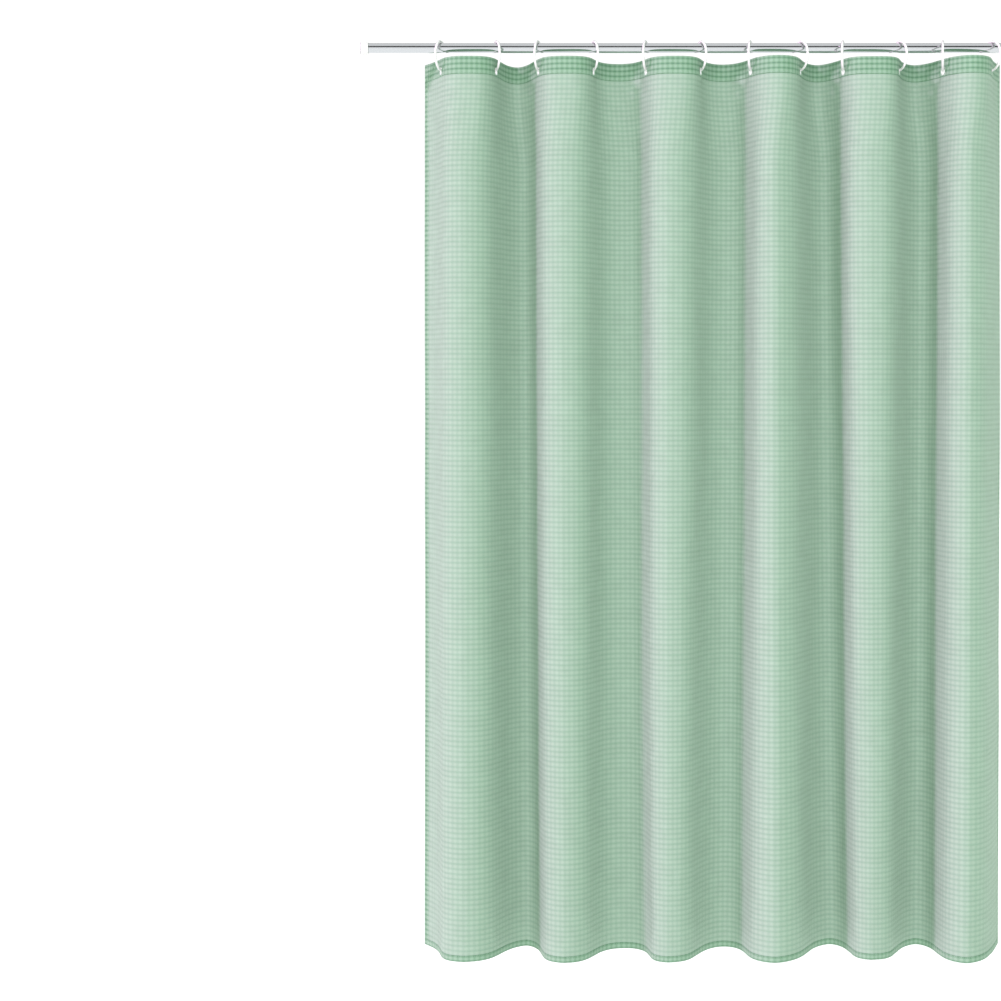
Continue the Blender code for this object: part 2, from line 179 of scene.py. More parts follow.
@dataclass(frozen=True)
class WaffleCloth:
    """Jacquard-woven polyester: shiny float spots in two directions on a pierced plain ground."""

    name: str
    ground: str = "#9FBBA5"
    # The weft floats are painted lighter as sheen and the warp floats darker as shade, where the
    # real floats differ in how they reflect
    weft_float_sheen: str = "#A3BEA9"
    warp_float_shade: str = "#9BB8A2"
    # The gap tone is painted shade for the weave's holes, the gaps between threads and the row
    # grooves
    gap: str = "#759F80"
    repeat_mm: float = 10.3
    thread_mm: float = 0.86
    spot_share: float = 0.25
    spot_edge: float = 0.09
    spot_shape: float = 0.82
    relief_mm: float = 1.1
    # How strongly the row grooves are painted darker, as shade
    row_groove_shade: float = 0.2
    roughness: float = 0.5

    def build(self) -> Finish:
        """Make the weave from the cloth's own UV map, which is in metres.

        Returns:
            The finished material.
        """
        made, tree, shader = new_material(self.name)
        place = add_node(tree, "UVMap", uv_map="cut").outputs["UV"]
        across, along = self._repeats(tree, place)
        weft = self._spot(tree, across, along)
        # Warp spots lie half a repeat away from weft spots, both ways
        shifted = [
            add_node(tree, "Math", {0: 0.5, 1: part}, operation="SUBTRACT").outputs[0]
            for part in (across, along)
        ]
        warp = self._spot(tree, *shifted)
        weft_rib, warp_rib = self._ribs(tree, place)
        crossing = {0: weft_rib, 1: warp_rib}
        hole = add_node(tree, "Math", crossing, operation="MULTIPLY").outputs[0]
        hole = add_node(tree, "Math", {0: hole, 1: 1.6}, operation="POWER").outputs[0]
        # Painted shade: the holes and the gaps between threads are coloured darker, towards the
        # ground and gap tones
        tones = []
        for mask, share, thread, between in (
            (hole, 1.0, self.ground, self.gap),
            (weft_rib, 0.35, self.weft_float_sheen, self.ground),
            (warp_rib, 0.45, self.warp_float_shade, self.gap),
        ):
            part = add_node(tree, "Math", {0: mask, 1: share}, operation="MULTIPLY")
            colours = {0: part.outputs[0], 6: linear(thread), 7: linear(between)}
            tones.append(add_node(tree, "Mix", colours, data_type="RGBA").outputs[2])
        # Painted shade: the row grooves are coloured towards the gap tone, as well as sunk by the
        # relief
        groove = self._groove(tree, along, warp)
        sunk = {0: groove, 1: self.row_groove_shade}
        shade = add_node(tree, "Math", sunk, operation="MULTIPLY").outputs[0]
        # Painted sheen and shade: weft spots take the lighter weft tone, warp spots the darker warp
        # tone
        tone = tones[0]
        for mask, over in ((weft, tones[1]), (warp, tones[2]), (shade, linear(self.gap))):
            colours = {0: mask, 6: tone, 7: over}
            tone = add_node(tree, "Mix", colours, data_type="RGBA").outputs[2]
        tree.links.new(self._mottled(tree, place, tone), shader.inputs["Base Color"])
        self._emboss(tree, shader, (weft, warp, weft_rib, warp_rib, hole, groove))
        shader.inputs["Roughness"].default_value = self.roughness
        shader.inputs["Specular IOR Level"].default_value = 0.35
        shader.inputs["Sheen Weight"].default_value = 0.1
        shader.inputs["Sheen Roughness"].default_value = 0.45
        return made

    def _repeats(self, tree: Tree, place: Socket) -> list[Socket]:
        """Fold the cut's two directions into 0 at a spot's centre and 0.5 half a repeat away.

        Args:
            tree: The material's nodes.
            place: The place on the cut, in metres.

        Returns:
            The folded distance across and along.
        """
        parts = add_node(tree, "SeparateXYZ", {0: place})
        folded = []
        for socket in parts.outputs[:2]:
            scaled = {0: socket, 1: 1 / (self.repeat_mm * MM)}
            count = add_node(tree, "Math", scaled, operation="MULTIPLY").outputs[0]
            fold = add_node(tree, "Math", {0: count, 1: 0.5}, operation="PINGPONG")
            folded.append(fold.outputs[0])
        return folded

    def _spot(self, tree: Tree, across: Socket, along: Socket) -> Socket:
        """Mask one rounded float spot in each repeat.

        Args:
            tree: The material's nodes.
            across: Distance from the spot's centre across the cloth, in repeats.
            along: The same along the cloth.

        Returns:
            1 on the spot and 0 off it.
        """
        drawn_in = {0: across, 1: self.spot_shape}
        narrowed = add_node(tree, "Math", drawn_in, operation="MULTIPLY").outputs[0]
        reach = add_node(tree, "CombineXYZ", {0: narrowed, 1: along}).outputs[0]
        length = add_node(tree, "VectorMath", {0: reach}, operation="LENGTH")
        ramp = add_node(
            tree,
            "MapRange",
            {
                "Value": length.outputs["Value"],
                "From Min": self.spot_share - self.spot_edge,
                "From Max": self.spot_share + self.spot_edge,
                "To Min": 1.0,
                "To Max": 0.0,
            },
            interpolation_type="SMOOTHSTEP",
        )
        return ramp.outputs[0]

    @staticmethod
    def _groove(tree: Tree, along: Socket, warp: Socket) -> Socket:
        """Sink the row between two rows of weft floats, deepest at the warp floats that bind it.

        Args:
            tree: The material's nodes.
            along: Distance from the row of weft floats along the cloth, in repeats.
            warp: The warp spots.

        Returns:
            1 in the deepest part of the groove.
        """
        band = {"Value": along, "From Min": 0.30, "From Max": 0.47}
        row = add_node(tree, "MapRange", band, interpolation_type="SMOOTHSTEP")
        pulled = {0: warp, 1: 0.3, 2: 0.7}
        bound = add_node(tree, "Math", pulled, operation="MULTIPLY_ADD")
        both = {0: row.outputs[0], 1: bound.outputs[0]}
        return add_node(tree, "Math", both, operation="MULTIPLY").outputs[0]

    def _ribs(self, tree: Tree, place: Socket) -> list[Socket]:
        """Make the gaps between neighbouring threads in both directions.

        Args:
            tree: The material's nodes.
            place: The place on the cut, in metres.

        Returns:
            Two waves, 1 in a gap and 0 on a thread: between weft threads, then warp threads.
        """
        parts = add_node(tree, "SeparateXYZ", {0: place})
        waves = []
        for socket in (parts.outputs[1], parts.outputs[0]):
            scaled = {0: socket, 1: 2 * math.pi / (self.thread_mm * MM)}
            turn = add_node(tree, "Math", scaled, operation="MULTIPLY").outputs[0]
            wave = add_node(tree, "Math", {0: turn}, operation="COSINE").outputs[0]
            raised = {0: wave, 1: 0.5, 2: 0.5}
            half = add_node(tree, "Math", raised, operation="MULTIPLY_ADD")
            waves.append(half.outputs[0])
        return waves

    @staticmethod
    def _mottled(tree: Tree, place: Socket, tone: Socket) -> Socket:
        """Vary the dye a little, in patches about 30 mm across.

        Args:
            tree: The material's nodes.
            place: The place on the cut, in metres.
            tone: The weave's colour.

        Returns:
            The colour with its variation.
        """
        patches = {"Vector": place, "Scale": 33.0, "Detail": 3.0}
        patch = add_node(tree, "TexNoise", patches).outputs[0]
        span = {"Value": patch, "From Min": 0.3, "From Max": 0.7, "To Min": 0.97, "To Max": 1.03}
        value = add_node(tree, "MapRange", span).outputs[0]
        dyed = {"Value": value, "Color": tone}
        return add_node(tree, "HueSaturation", dyed).outputs[0]

    def _emboss(self, tree: Tree, shader: bpy.types.Node, masks: Sequence[Socket]) -> None:
        """Raise the floats and sink the holes.

        Args:
            tree: The material's nodes.
            shader: The shader that gets the relief.
            masks: Weft spots, warp spots, weft gaps, warp gaps, holes and grooves.
        """
        weft, warp, weft_rib, warp_rib, hole, groove = masks
        height: Socket | float = 0.35
        for mask, rise in (
            (hole, -0.25),
            (weft, 0.32),
            (warp, 0.16),
            (weft_rib, -0.10),
            (warp_rib, -0.04),
            (groove, -0.42),
        ):
            layer = {0: mask, 1: rise, 2: height}
            height = add_node(tree, "Math", layer, operation="MULTIPLY_ADD").outputs[0]
        relief = {"Height": height, "Distance": self.relief_mm * MM, "Strength": 0.9}
        bump = add_node(tree, "Bump", relief)
        tree.links.new(bump.outputs[0], shader.inputs["Normal"])


@dataclass(frozen=True)
class SewingThread:
    """Spun polyester thread: a soft, dull twist a shade paler than the cloth."""

    name: str = "Spun polyester sewing thread"
    # The dark tone is painted shade in the grooves of the twist
    light: str = "#C4D8C8"
    dark: str = "#8FB398"
    twist_mm: float = 0.7

    def build(self) -> Finish:
        """Make the twisted thread.

        Returns:
            The finished material.
        """
        made, tree, shader = new_material(self.name)
        place = add_node(tree, "TexCoord").outputs["Object"]
        # The real twist is about 0.3 mm; it is drawn coarser so that it shows
        scale = 0.3 / (self.twist_mm * MM)
        strands = {"Vector": place, "Scale": scale, "Distortion": 1.5, "Detail": 1.0}
        wave = add_node(tree, "TexWave", strands, bands_direction="DIAGONAL")
        twist = wave.outputs[1]
        # Painted shade: the colour turns to the dark tone where the twist's relief is low
        surface(tree, shader, (twist, self.dark, self.light), (twist, 0.1, 0.6))
        shader.inputs["Roughness"].default_value = 0.7
        shader.inputs["Sheen Weight"].default_value = 0.2
        return made


@dataclass(frozen=True)
class MouldedPlastic:
    """Injection-moulded plastic: even colour, a faint flow mottle and a fine grain in its gloss."""

    name: str
    colour: str
    shade: str
    roughness: float
    coat: float = 0.0
    grain_mm: float = 0.6
    relief_mm: float = 0.01

    def build(self) -> Finish:
        """Make the moulded surface.

        Returns:
            The finished material.
        """
        made, tree, shader = new_material(self.name)
        place = add_node(tree, "TexCoord").outputs["Object"]
        swirl = {"Vector": place, "Scale": 45.0, "Detail": 2.0}
        flow = add_node(tree, "TexNoise", swirl).outputs[0]
        speckle = {"Vector": place, "Scale": 1 / (self.grain_mm * MM), "Detail": 2.0}
        grain = add_node(tree, "TexNoise", speckle).outputs[0]
        relief = (grain, self.relief_mm, 0.4)
        surface(tree, shader, (flow, self.shade, self.colour), relief, self.roughness)
        shader.inputs["IOR"].default_value = 1.5
        shader.inputs["Coat Weight"].default_value = self.coat
        shader.inputs["Coat Roughness"].default_value = 0.06
        return made


@dataclass(frozen=True)
class ChromedTube:
    """Chrome-plated steel tube, drawn then buffed: bright, with hair-fine lines along it."""

    name: str = "Chrome-plated steel tube, buffed"
    colour: str = "#CFD2D4"
    worn: str = "#C4C7CA"
    roughness: float = 0.11

    def build(self) -> Finish:
        """Make the buffed chrome.

        Returns:
            The finished material.
        """
        made, tree, shader = new_material(self.name)
        place = add_node(tree, "TexCoord").outputs["Object"]
        # Buffing lines run along the tube, about 0.5 mm apart and some 60 mm long
        drawn = add_node(tree, "Mapping", {0: place, "Scale": (16.0, 2000.0, 2000.0)})
        fine = {"Vector": drawn.outputs[0], "Scale": 1.0, "Detail": 3.0}
        lines = add_node(tree, "TexNoise", fine).outputs[0]
        relief = (lines, 0.005, 0.1)
        surface(tree, shader, (lines, self.worn, self.colour), relief, self.roughness)
        shader.inputs["Metallic"].default_value = 1.0
        return made


# ---------------------------------------------------------------- modelling


def deselect_all() -> None:
    """Leave nothing selected. It is called in object mode."""
    bpy.ops.object.select_all(action="DESELECT")


def take(obj: Piece) -> None:
    """Make one object the only one selected, and active.

    Args:
        obj: The object.
    """
    deselect_all()
    obj.select_set(True)
    bpy.context.view_layer.objects.active = obj


def put(name: str, data: bpy.types.ID) -> Piece:
    """Put a mesh, lamp or camera in the scene.

    Args:
        name: The object's name.
        data: What it shows.

    Returns:
        The object.
    """
    obj = bpy.data.objects.new(name, data)
    bpy.context.scene.collection.objects.link(obj)
    return obj


def apply_modifiers(obj: Piece) -> None:
    """Apply every modifier of an object, in order.

    Args:
        obj: The object.
    """
    take(obj)
    for modifier in list(obj.modifiers):
        bpy.ops.object.modifier_apply(modifier=modifier.name)


def select_vertices(mesh: bpy.types.Mesh, chosen: Iterable[int]) -> None:
    """Select these vertices of a mesh that is in edit mode, and nothing else.

    Args:
        mesh: The mesh.
        chosen: The vertices' numbers.
    """
    shape = bmesh.from_edit_mesh(mesh)
    wanted = set(chosen)
    for vertex in shape.verts:
        vertex.select = vertex.index in wanted
    shape.select_flush(True)
    bmesh.update_edit_mesh(mesh)


def dress(obj: Piece, finish: Finish, body: str, nodes: Sequence[str] = ()) -> Piece:
    """Give a finished piece its material and its body.

    Args:
        obj: The piece.
        finish: Its material.
        body: The CAD body that it moves with.
        nodes: The CAD nodes that it stands for.

    Returns:
        The piece.
    """
    obj.data.materials.clear()
    obj.data.materials.append(finish)
    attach(obj, body)
    if nodes:
        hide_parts(*nodes)
    LOG.info("%s: %d faces, rides on %s", obj.name, len(obj.data.polygons), body)
    return obj


@dataclass
class HangingCloth:
    """The pleated surface that every piece of the cloth lies on."""

    width: float = 1.829
    height: float = 1.829
    margin: float = 0.0762
    first_ring_x: float = 0.164
    # How far apart the rings are
    fold_widths: tuple[float, ...] = (
        0.113, 0.086, 0.113, 0.107, 0.112, 0.102, 0.102, 0.087, 0.115, 0.089, 0.100,
    )
    # The cloth's steepest direction from the rod, at a ring and at its side edges
    flank: float = math.radians(69)
    edge: float = math.radians(56)
    fold_steps: int = 96
    # How far each ring's line of cloth has wandered sideways at the floor
    wander_mm: tuple[float, ...] = (0, 6, 8, 2, 6, -8, -8, 12, 16, -8, -10, 0)
    wander_power: float = 1.4
    # How far the top edge sags between two rings
    sag_mm: tuple[float, ...] = (0.5, 6.0, 0.5, 1.5, 0.6, 1.8, 0.4, 1.2, 0.8, 1.6, 0.5)
    sag_fade: float = 0.35
    # How much deeper or shallower each fold is at the floor
    depth_share: tuple[float, ...] = (
        0.03, -0.05, 0.04, 0.02, -0.04, 0.03, 0.05, -0.06, 0.02, -0.03, 0.04,
    )
    # How far the floor end stands back at the left and forward at the right
    turn_mm: float = 8.0
    bow_mm: float = 5.0
    hem_wave_mm: float = 2.0
    # Where the crest of each forward fold turns most sharply, and how far it stands out
    crease_share: tuple[float, ...] = (0.49, 0.49, 0.47, 0.50, 0.48, 0.51)
    crease_mm: float = 3.6
    crease_width: float = 0.016
    # How far a fold leans sideways for each metre that it stands forward
    lean: float = 0.22
    # The small creases below each hole
    pull_mm: float = 1.1
    pull_top: float = 0.030
    pull_rise: float = 0.012
    pull_fade: float = 0.05
    pull_reach: float = 0.05
    pull_width: float = 0.010
    pull_spread: float = 0.25
    top: float = field(init=False)
    pitch: float = field(init=False)
    step: float = field(init=False)
    powers: list[float] = field(init=False)
    right: list[Vector] = field(init=False)
    left: list[Vector] = field(init=False)

    def __post_init__(self) -> None:
        """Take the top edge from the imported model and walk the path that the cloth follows."""
        self.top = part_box("header_hem")[1][2]
        self.pitch = (self.width - 2 * self.margin) / len(self.fold_widths)
        self.step = self.pitch / self.fold_steps
        self.powers = [self._power(width) for width in self.fold_widths]
        self.right = self._walk(self.width - self.margin, 1)
        self.left = self._walk(self.margin, -1)

    def _fold_angle(self, share: float, power: float) -> float:
        """Slope of a fold at a share of the way round it."""
        turn = math.cos(math.pi * share)
        return math.copysign(self.flank * abs(turn) ** power, turn)

    def _power(self, width: float) -> float:
        """Find how bluntly a fold turns for its cloth to span a width.

        Args:
            width: The distance between the fold's two rings.

        Returns:
            The exponent of the fold's slope.
        """
        low, high = 0.02, 60.0
        for _ in range(50):
            middle = math.sqrt(low * high)
            shares = ((i + 0.5) / self.fold_steps for i in range(self.fold_steps))
            spans = sum(math.cos(self._fold_angle(share, middle)) for share in shares)
            if spans * self.step < width:
                low = middle
            else:
                high = middle
        return low

    def heading(self, distance: float) -> float:
        """Give the cloth's direction seen from above.

        Args:
            distance: Distance along the cloth from the first ring.

        Returns:
            The angle from +X; a negative one comes forward.
        """
        fold = math.floor(distance / self.pitch + 1e-9)
        if distance < 0:
            return -(self.flank + (self.edge - self.flank) * -distance / self.margin)
        if fold >= len(self.fold_widths):
            past = distance - self.pitch * len(self.fold_widths)
            return self.flank + (self.edge - self.flank) * past / self.margin
        forward = -1 if fold % 2 == 0 else 1
        return forward * self._fold_angle(distance / self.pitch - fold, self.powers[fold])

    def _walk(self, length: float, direction: int) -> list[Vector]:
        """Walk along the cloth from the first ring to one side edge.

        Args:
            length: How far to walk.
            direction: 1 to the right and -1 to the left.

        Returns:
            A point at every step, seen from above.
        """
        points = [Vector((self.first_ring_x, 0.0))]
        for i in range(math.ceil(length / self.step) + 2):
            angle = self.heading(direction * (i + 0.5) * self.step)
            ahead = Vector((math.cos(angle), math.sin(angle)))
            points.append(points[-1] + ahead * self.step * direction)
        return points

    @staticmethod
    def _between(values: Sequence[float], place: float) -> float:
        """Read a list of numbers between two of them, with an even ease from one to the next.

        Args:
            values: The numbers.
            place: The place in the list, with a share of the way to the next.

        Returns:
            The number there.
        """
        place = min(max(place, 0.0), len(values) - 1.0)
        low = min(int(place), len(values) - 2)
        share = place - low
        ease = share * share * (3 - 2 * share)
        return values[low] + (values[low + 1] - values[low]) * ease

    def point(self, across: float, down: float, lift: float = 0.0) -> Vector:
        """Hang one point of the flat cut.

        Args:
            across: Distance from the cut's left edge.
            down: Distance below its top edge.
            lift: Distance in front of the cloth's middle.

        Returns:
            Where the point hangs.
        """
        distance = across - self.margin
        track = self.right if distance >= 0 else self.left
        place = abs(distance) / self.step
        low = min(int(place), len(track) - 2)
        flat = track[low].lerp(track[low + 1], place - low)
        angle = self.heading(distance)
        front = Vector((math.sin(angle), -math.cos(angle)))
        fold = distance / self.pitch
        share = down / self.height
        free = self._free(down)
        # Folds wander and change depth a little on their way down
        x = flat.x + self._between(self.wander_mm, fold) * MM * share**self.wander_power
        # Below the header each forward fold leans to the left, so its left side stands steepest
        past_end = fold - len(self.fold_widths)
        inside = min(1.0, max(0.0, 1 + 2 * fold), max(0.0, 1 - 2 * past_end))
        x += self.lean * flat.y * free * inside
        index = min(max(math.floor(fold), 0), len(self.depth_share) - 1)
        bulge = math.sin(math.pi * min(max(fold - index, 0.0), 1.0)) ** 2
        y = flat.y * (1 + self.depth_share[index] * bulge * share)
        y += self.turn_mm * (2 * across / self.width - 1) * MM * share
        y += self.bow_mm * MM * math.sin(across * 3.1 + 0.7) * math.sin(math.pi * share) * share
        ripple = (self._ripple(across, down) + self._crease(fold)) * free + self._pull(fold, down)
        z = self.top - down
        if 0 <= fold < len(self.sag_mm):
            sag = self.sag_mm[int(fold)] * MM * math.sin(math.pi * (fold % 1.0)) ** 2
            z -= sag * math.exp(-down / self.sag_fade)
        z += self.hem_wave_mm * MM * math.sin(across * 5.3 + 1.1) * share**3
        off = front * (lift + ripple)
        return Vector((x + off.x, y + off.y, z))

    @staticmethod
    def _free(down: float) -> float:
        """How free the cloth is to move: none in the header, all of it 0.2 m lower."""
        share = min(max((down - 0.03) / 0.2, 0.0), 1.0)
        return share * share * (3 - 2 * share)

    @staticmethod
    def _ripple(across: float, down: float) -> float:
        """Slow, shallow unevenness of soft cloth, mostly long upright waves.

        Args:
            across: Distance from the cut's left edge.
            down: Distance below its top edge.

        Returns:
            How far the cloth stands forward.
        """
        broad = noise.noise(Vector((across * 9.0, down * 1.3, 4.2)))
        fine = noise.noise(Vector((across * 26.0, down * 5.0, 11.7)))
        return broad * 2.2 * MM + fine * 0.7 * MM

    def _crease(self, fold: float) -> float:
        """The soft ridge down the crest of a forward fold.

        Args:
            fold: Place across the cloth, counted in rings.

        Returns:
            How far the cloth stands forward.
        """
        index = math.floor(fold)
        if index < 0 or index % 2 or index >= len(self.fold_widths):
            return 0.0
        aside = (fold - index - self.crease_share[index // 2]) * self.pitch
        ridge = math.exp(-math.hypot(aside, 0.0015) / self.crease_width)
        return self.crease_mm * MM * (ridge - 0.15)

    def _pull(self, fold: float, down: float) -> float:
        """Small creases that run down from each hole, where the ring carries the cloth's weight.

        Args:
            fold: Place across the cloth, counted in rings.
            down: Distance below the top edge.

        Returns:
            How far a crease stands forward.
        """
        nearest = min(max(round(fold), 0), len(self.fold_widths))
        aside = (fold - nearest) * self.pitch
        below = down - self.pull_top
        if below < 0 or abs(aside) > self.pull_reach:
            return 0.0
        rise = min(below / self.pull_rise, 1.0) * math.exp(-below / self.pull_fade)
        spread = self.pull_width + below * self.pull_spread
        fade = math.exp(-((aside / (2 * spread)) ** 2))
        return self.pull_mm * MM * rise * math.cos(math.pi * aside / spread) * fade


def hook_body(place: int) -> str:
    """The body that carries a ring; number 0, at the left, stays with the curtain."""
    return "curtain" if place == 0 else f"hook_{place + 1:02d}"


def spaced(first: float, last: float, count: int) -> list[float]:
    """Even places from first to last, both included."""
    return [first + (last - first) * i / count for i in range(count + 1)]


@dataclass
class ClothWork:
    """The curtain's cloth: panel, header, hems, their seams and the worked buttonholes."""

    cloth: HangingCloth
    plain: Finish
    doubled_with_painted_shade: Finish
    thread: Finish
    panel_thickness: float = 0.00065
    hem_thickness: float = 0.0013
    header_height: float = 0.036
    bottom_height: float = 0.0125
    side_width: float = 0.012
    tuck: float = 0.002
    hole_straight: float = 0.001
    rim_radius: float = 0.0011
    rim_flatness: float = 0.74
    rim_stitches: int = 40
    stitch_length: float = 0.0025
    stitch_gap: float = 0.0008
    stitch_valley: float = 0.00022
    # How far a seam lies inside its hem's folded edge, and where it stops
    header_inset: float = 0.0022
    seam_inset: float = 0.0018
    seam_end: float = 0.003
    side_seam_top: float = 0.040
    side_seam_gap: float = 0.004
    # Real thread is 0.3 mm; it is drawn thicker so that the seams show
    thread_width: float = 0.0007
    keep: float = 0.35
    hole_search: float = 0.02
    hole_radius: float = field(init=False)

    def __post_init__(self) -> None:
        """Take the buttonholes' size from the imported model."""
        low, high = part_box("buttonhole_01")
        self.hole_radius = (high[2] - low[2] - self.hole_straight) / 2 - self.rim_radius

    def build(self) -> tuple[Piece, list[Piece]]:
        """Make every piece of the cloth and attach it to the body that it moves with.

        Returns:
            The panel, and the other pieces that belong to it.
        """
        width, height = self.cloth.width, self.cloth.height
        low = height - self.bottom_height
        panel = self._sheet(
            "waffle_panel",
            spaced(self.side_width - self.tuck, width - self.side_width + self.tuck, 318),
            spaced(self.header_height - self.tuck, low + self.tuck, 140),
            self.panel_thickness,
        )
        dress(panel, self.plain, "curtain", ["curtain_panel"])
        sides = (self.header_height - self.tuck, low + self.tuck, 150)
        edge, extra = self.side_width, 0.0002
        bands = [
            ("header_band", (0.0, width, 610), (0.0, self.header_height, 12), extra, "header_hem"),
            ("bottom_band", (0.0, width, 400), (low, height, 4), extra, "bottom_hem"),
            ("side_band_left", (0.0, edge, 4), sides, 0.0, "side_hem_left"),
            ("side_band_right", (width - edge, width, 4), sides, 0.0, "side_hem_right"),
        ]
        pieces = []
        for name, across, down, more, node in bands:
            holes, thickness = name == "header_band", self.hem_thickness + more
            band = self._sheet(name, spaced(*across), spaced(*down), thickness, holes, bevel=True)
            pieces.append(dress(band, self.doubled_with_painted_shade, "curtain", [node]))
        pieces.extend(self._seams())
        for piece in [panel, *pieces]:
            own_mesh(piece)
        self._buttonholes()
        return panel, pieces

    def _sheet(
        self,
        name: str,
        across: Sequence[float],
        down: Sequence[float],
        thickness: float,
        holes: bool = False,
        bevel: bool = False,
    ) -> Piece:
        """Cut a flat sheet, open its holes, hang it and give it its thickness.

        Args:
            name: The piece's name.
            across: Places of its columns on the cut.
            down: Places of its rows on the cut.
            thickness: Its thickness.
            holes: Whether the buttonholes are cut in it.
            bevel: Whether its edges are rounded over, as a fold of cloth is.

        Returns:
            The closed sheet.
        """
        shape = bmesh.new()
        grid = [[shape.verts.new((a, d, 0.0)) for d in down] for a in across]
        for left, right in zip(grid, grid[1:]):
            for j in range(len(down) - 1):
                shape.faces.new((left[j], left[j + 1], right[j + 1], right[j]))
        if holes:
            self._open_holes(shape)
        layer = shape.loops.layers.uv.new("cut")
        for face in shape.faces:
            for loop in face.loops:
                loop[layer].uv = (loop.vert.co.x, -loop.vert.co.y)
        for vertex in shape.verts:
            vertex.co = self.cloth.point(vertex.co.x, vertex.co.y)
        mesh = bpy.data.meshes.new(name)
        shape.to_mesh(mesh)
        shape.free()
        obj = put(name, mesh)
        solid = obj.modifiers.new("Thickness", "SOLIDIFY")
        solid.thickness, solid.offset, solid.use_even_offset = thickness, 0.0, False
        if bevel:
            fold = obj.modifiers.new("Folded edge", "BEVEL")
            fold.width, fold.segments, fold.limit_method = thickness * 0.3, 1, "ANGLE"
            fold.angle_limit = math.radians(50)
        apply_modifiers(obj)
        bpy.ops.object.shade_smooth_by_angle(angle=math.radians(60))
        return obj

    def hole_places(self) -> list[tuple[float, float]]:
        """Give the middle of each buttonhole on the flat cut.

        Returns:
            Distance across and down for each hole, from the left.
        """
        low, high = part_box("buttonhole_01")
        down = self.cloth.top - (low[2] + high[2]) / 2
        count = len(self.cloth.fold_widths) + 1
        return [(self.cloth.margin + k * self.cloth.pitch, down) for k in range(count)]

    def _open_holes(self, shape: bmesh.types.BMesh) -> None:
        """Take the flat cut's cloth out of the buttonholes and round their edges.

        Args:
            shape: The flat cut.
        """
        half = self.hole_straight / 2

        def nearest(vertex: bmesh.types.BMVert, centre: tuple[float, float]) -> Vector:
            """The point of the hole's middle line next to a vertex."""
            down = min(max(vertex.co.y, centre[1] - half), centre[1] + half)
            return Vector((centre[0], down, 0.0))

        for centre in self.hole_places():
            near = [v for v in shape.verts if abs(v.co.x - centre[0]) < self.hole_search]
            inside = [v for v in near if (v.co - nearest(v, centre)).length < self.hole_radius]
            rim = {e.other_vert(v) for v in inside for e in v.link_edges} - set(inside)
            bmesh.ops.delete(shape, geom=inside, context="VERTS")
            for vertex in rim:
                middle = nearest(vertex, centre)
                vertex.co = middle + (vertex.co - middle).normalized() * self.hole_radius

    def _stitch(self) -> tuple[list[Vector], list[list[int]]]:
        """Model one stitch: a small round-ended bar of thread.

        Returns:
            Its corners, with X along the seam and Z off the cloth, and its faces.
        """
        deselect_all()
        bpy.ops.mesh.primitive_ico_sphere_add(subdivisions=1, radius=0.5)
        bead = bpy.context.object
        bpy.ops.object.mode_set(mode="EDIT")
        bpy.ops.mesh.select_all(action="SELECT")
        size = (self.stitch_length, self.thread_width, self.thread_width * 0.8)
        bpy.ops.transform.resize(value=size, center_override=(0, 0, 0))
        bpy.ops.object.mode_set(mode="OBJECT")
        corners = [v.co.copy() for v in bead.data.vertices]
        faces = [list(p.vertices) for p in bead.data.polygons]
        bpy.data.objects.remove(bead, do_unlink=True)
        return corners, faces

    def _seams(self) -> list[Piece]:
        """Sew the hems: a row of stitches on both sides of the cloth along each one.

        Returns:
            One piece for each seam.
        """
        corners, faces = self._stitch()
        width, height = self.cloth.width, self.cloth.height
        header = self.header_height - self.header_inset
        bottom = height - self.bottom_height + self.seam_inset
        side, end = self.side_width - self.seam_inset, self.seam_end
        high, low = self.side_seam_top, bottom - self.side_seam_gap
        rows = [
            ("header_seam", (end, header), (width - end, header)),
            ("bottom_seam", (end, bottom), (width - end, bottom)),
            ("side_seam_left", (side, high), (side, low)),
            ("side_seam_right", (width - side, high), (width - side, low)),
        ]
        pieces = []
        for name, first, last in rows:
            start, stop = Vector(first), Vector(last)
            along = (stop - start).normalized()
            aside = Vector((-along.y, along.x))
            count = int((stop - start).length / (self.stitch_length + self.stitch_gap))
            points: list[Vector] = []
            polygons: list[list[int]] = []
            for i in range(count):
                middle = start.lerp(stop, (i + 0.5) / count)
                for face_of_cloth in (1, -1):
                    base = len(points)
                    for corner in corners:
                        flat = middle + along * corner.x + aside * corner.y
                        lift = face_of_cloth * (self.hem_thickness / 2 + 0.0001 + corner.z)
                        points.append(self.cloth.point(flat.x, flat.y, lift))
                    for face in faces:
                        order = face if face_of_cloth > 0 else list(reversed(face))
                        polygons.append([base + corner_index for corner_index in order])
            mesh = bpy.data.meshes.new(name)
            mesh.from_pydata(points, [], polygons)
            obj = put(name, mesh)
            take(obj)
            bpy.ops.object.mode_set(mode="EDIT")
            bpy.ops.mesh.select_all(action="SELECT")
            bpy.ops.mesh.normals_make_consistent(inside=False)
            bpy.ops.object.mode_set(mode="OBJECT")
            bpy.ops.object.shade_smooth()
            pieces.append(dress(obj, self.thread, "curtain"))
        return pieces

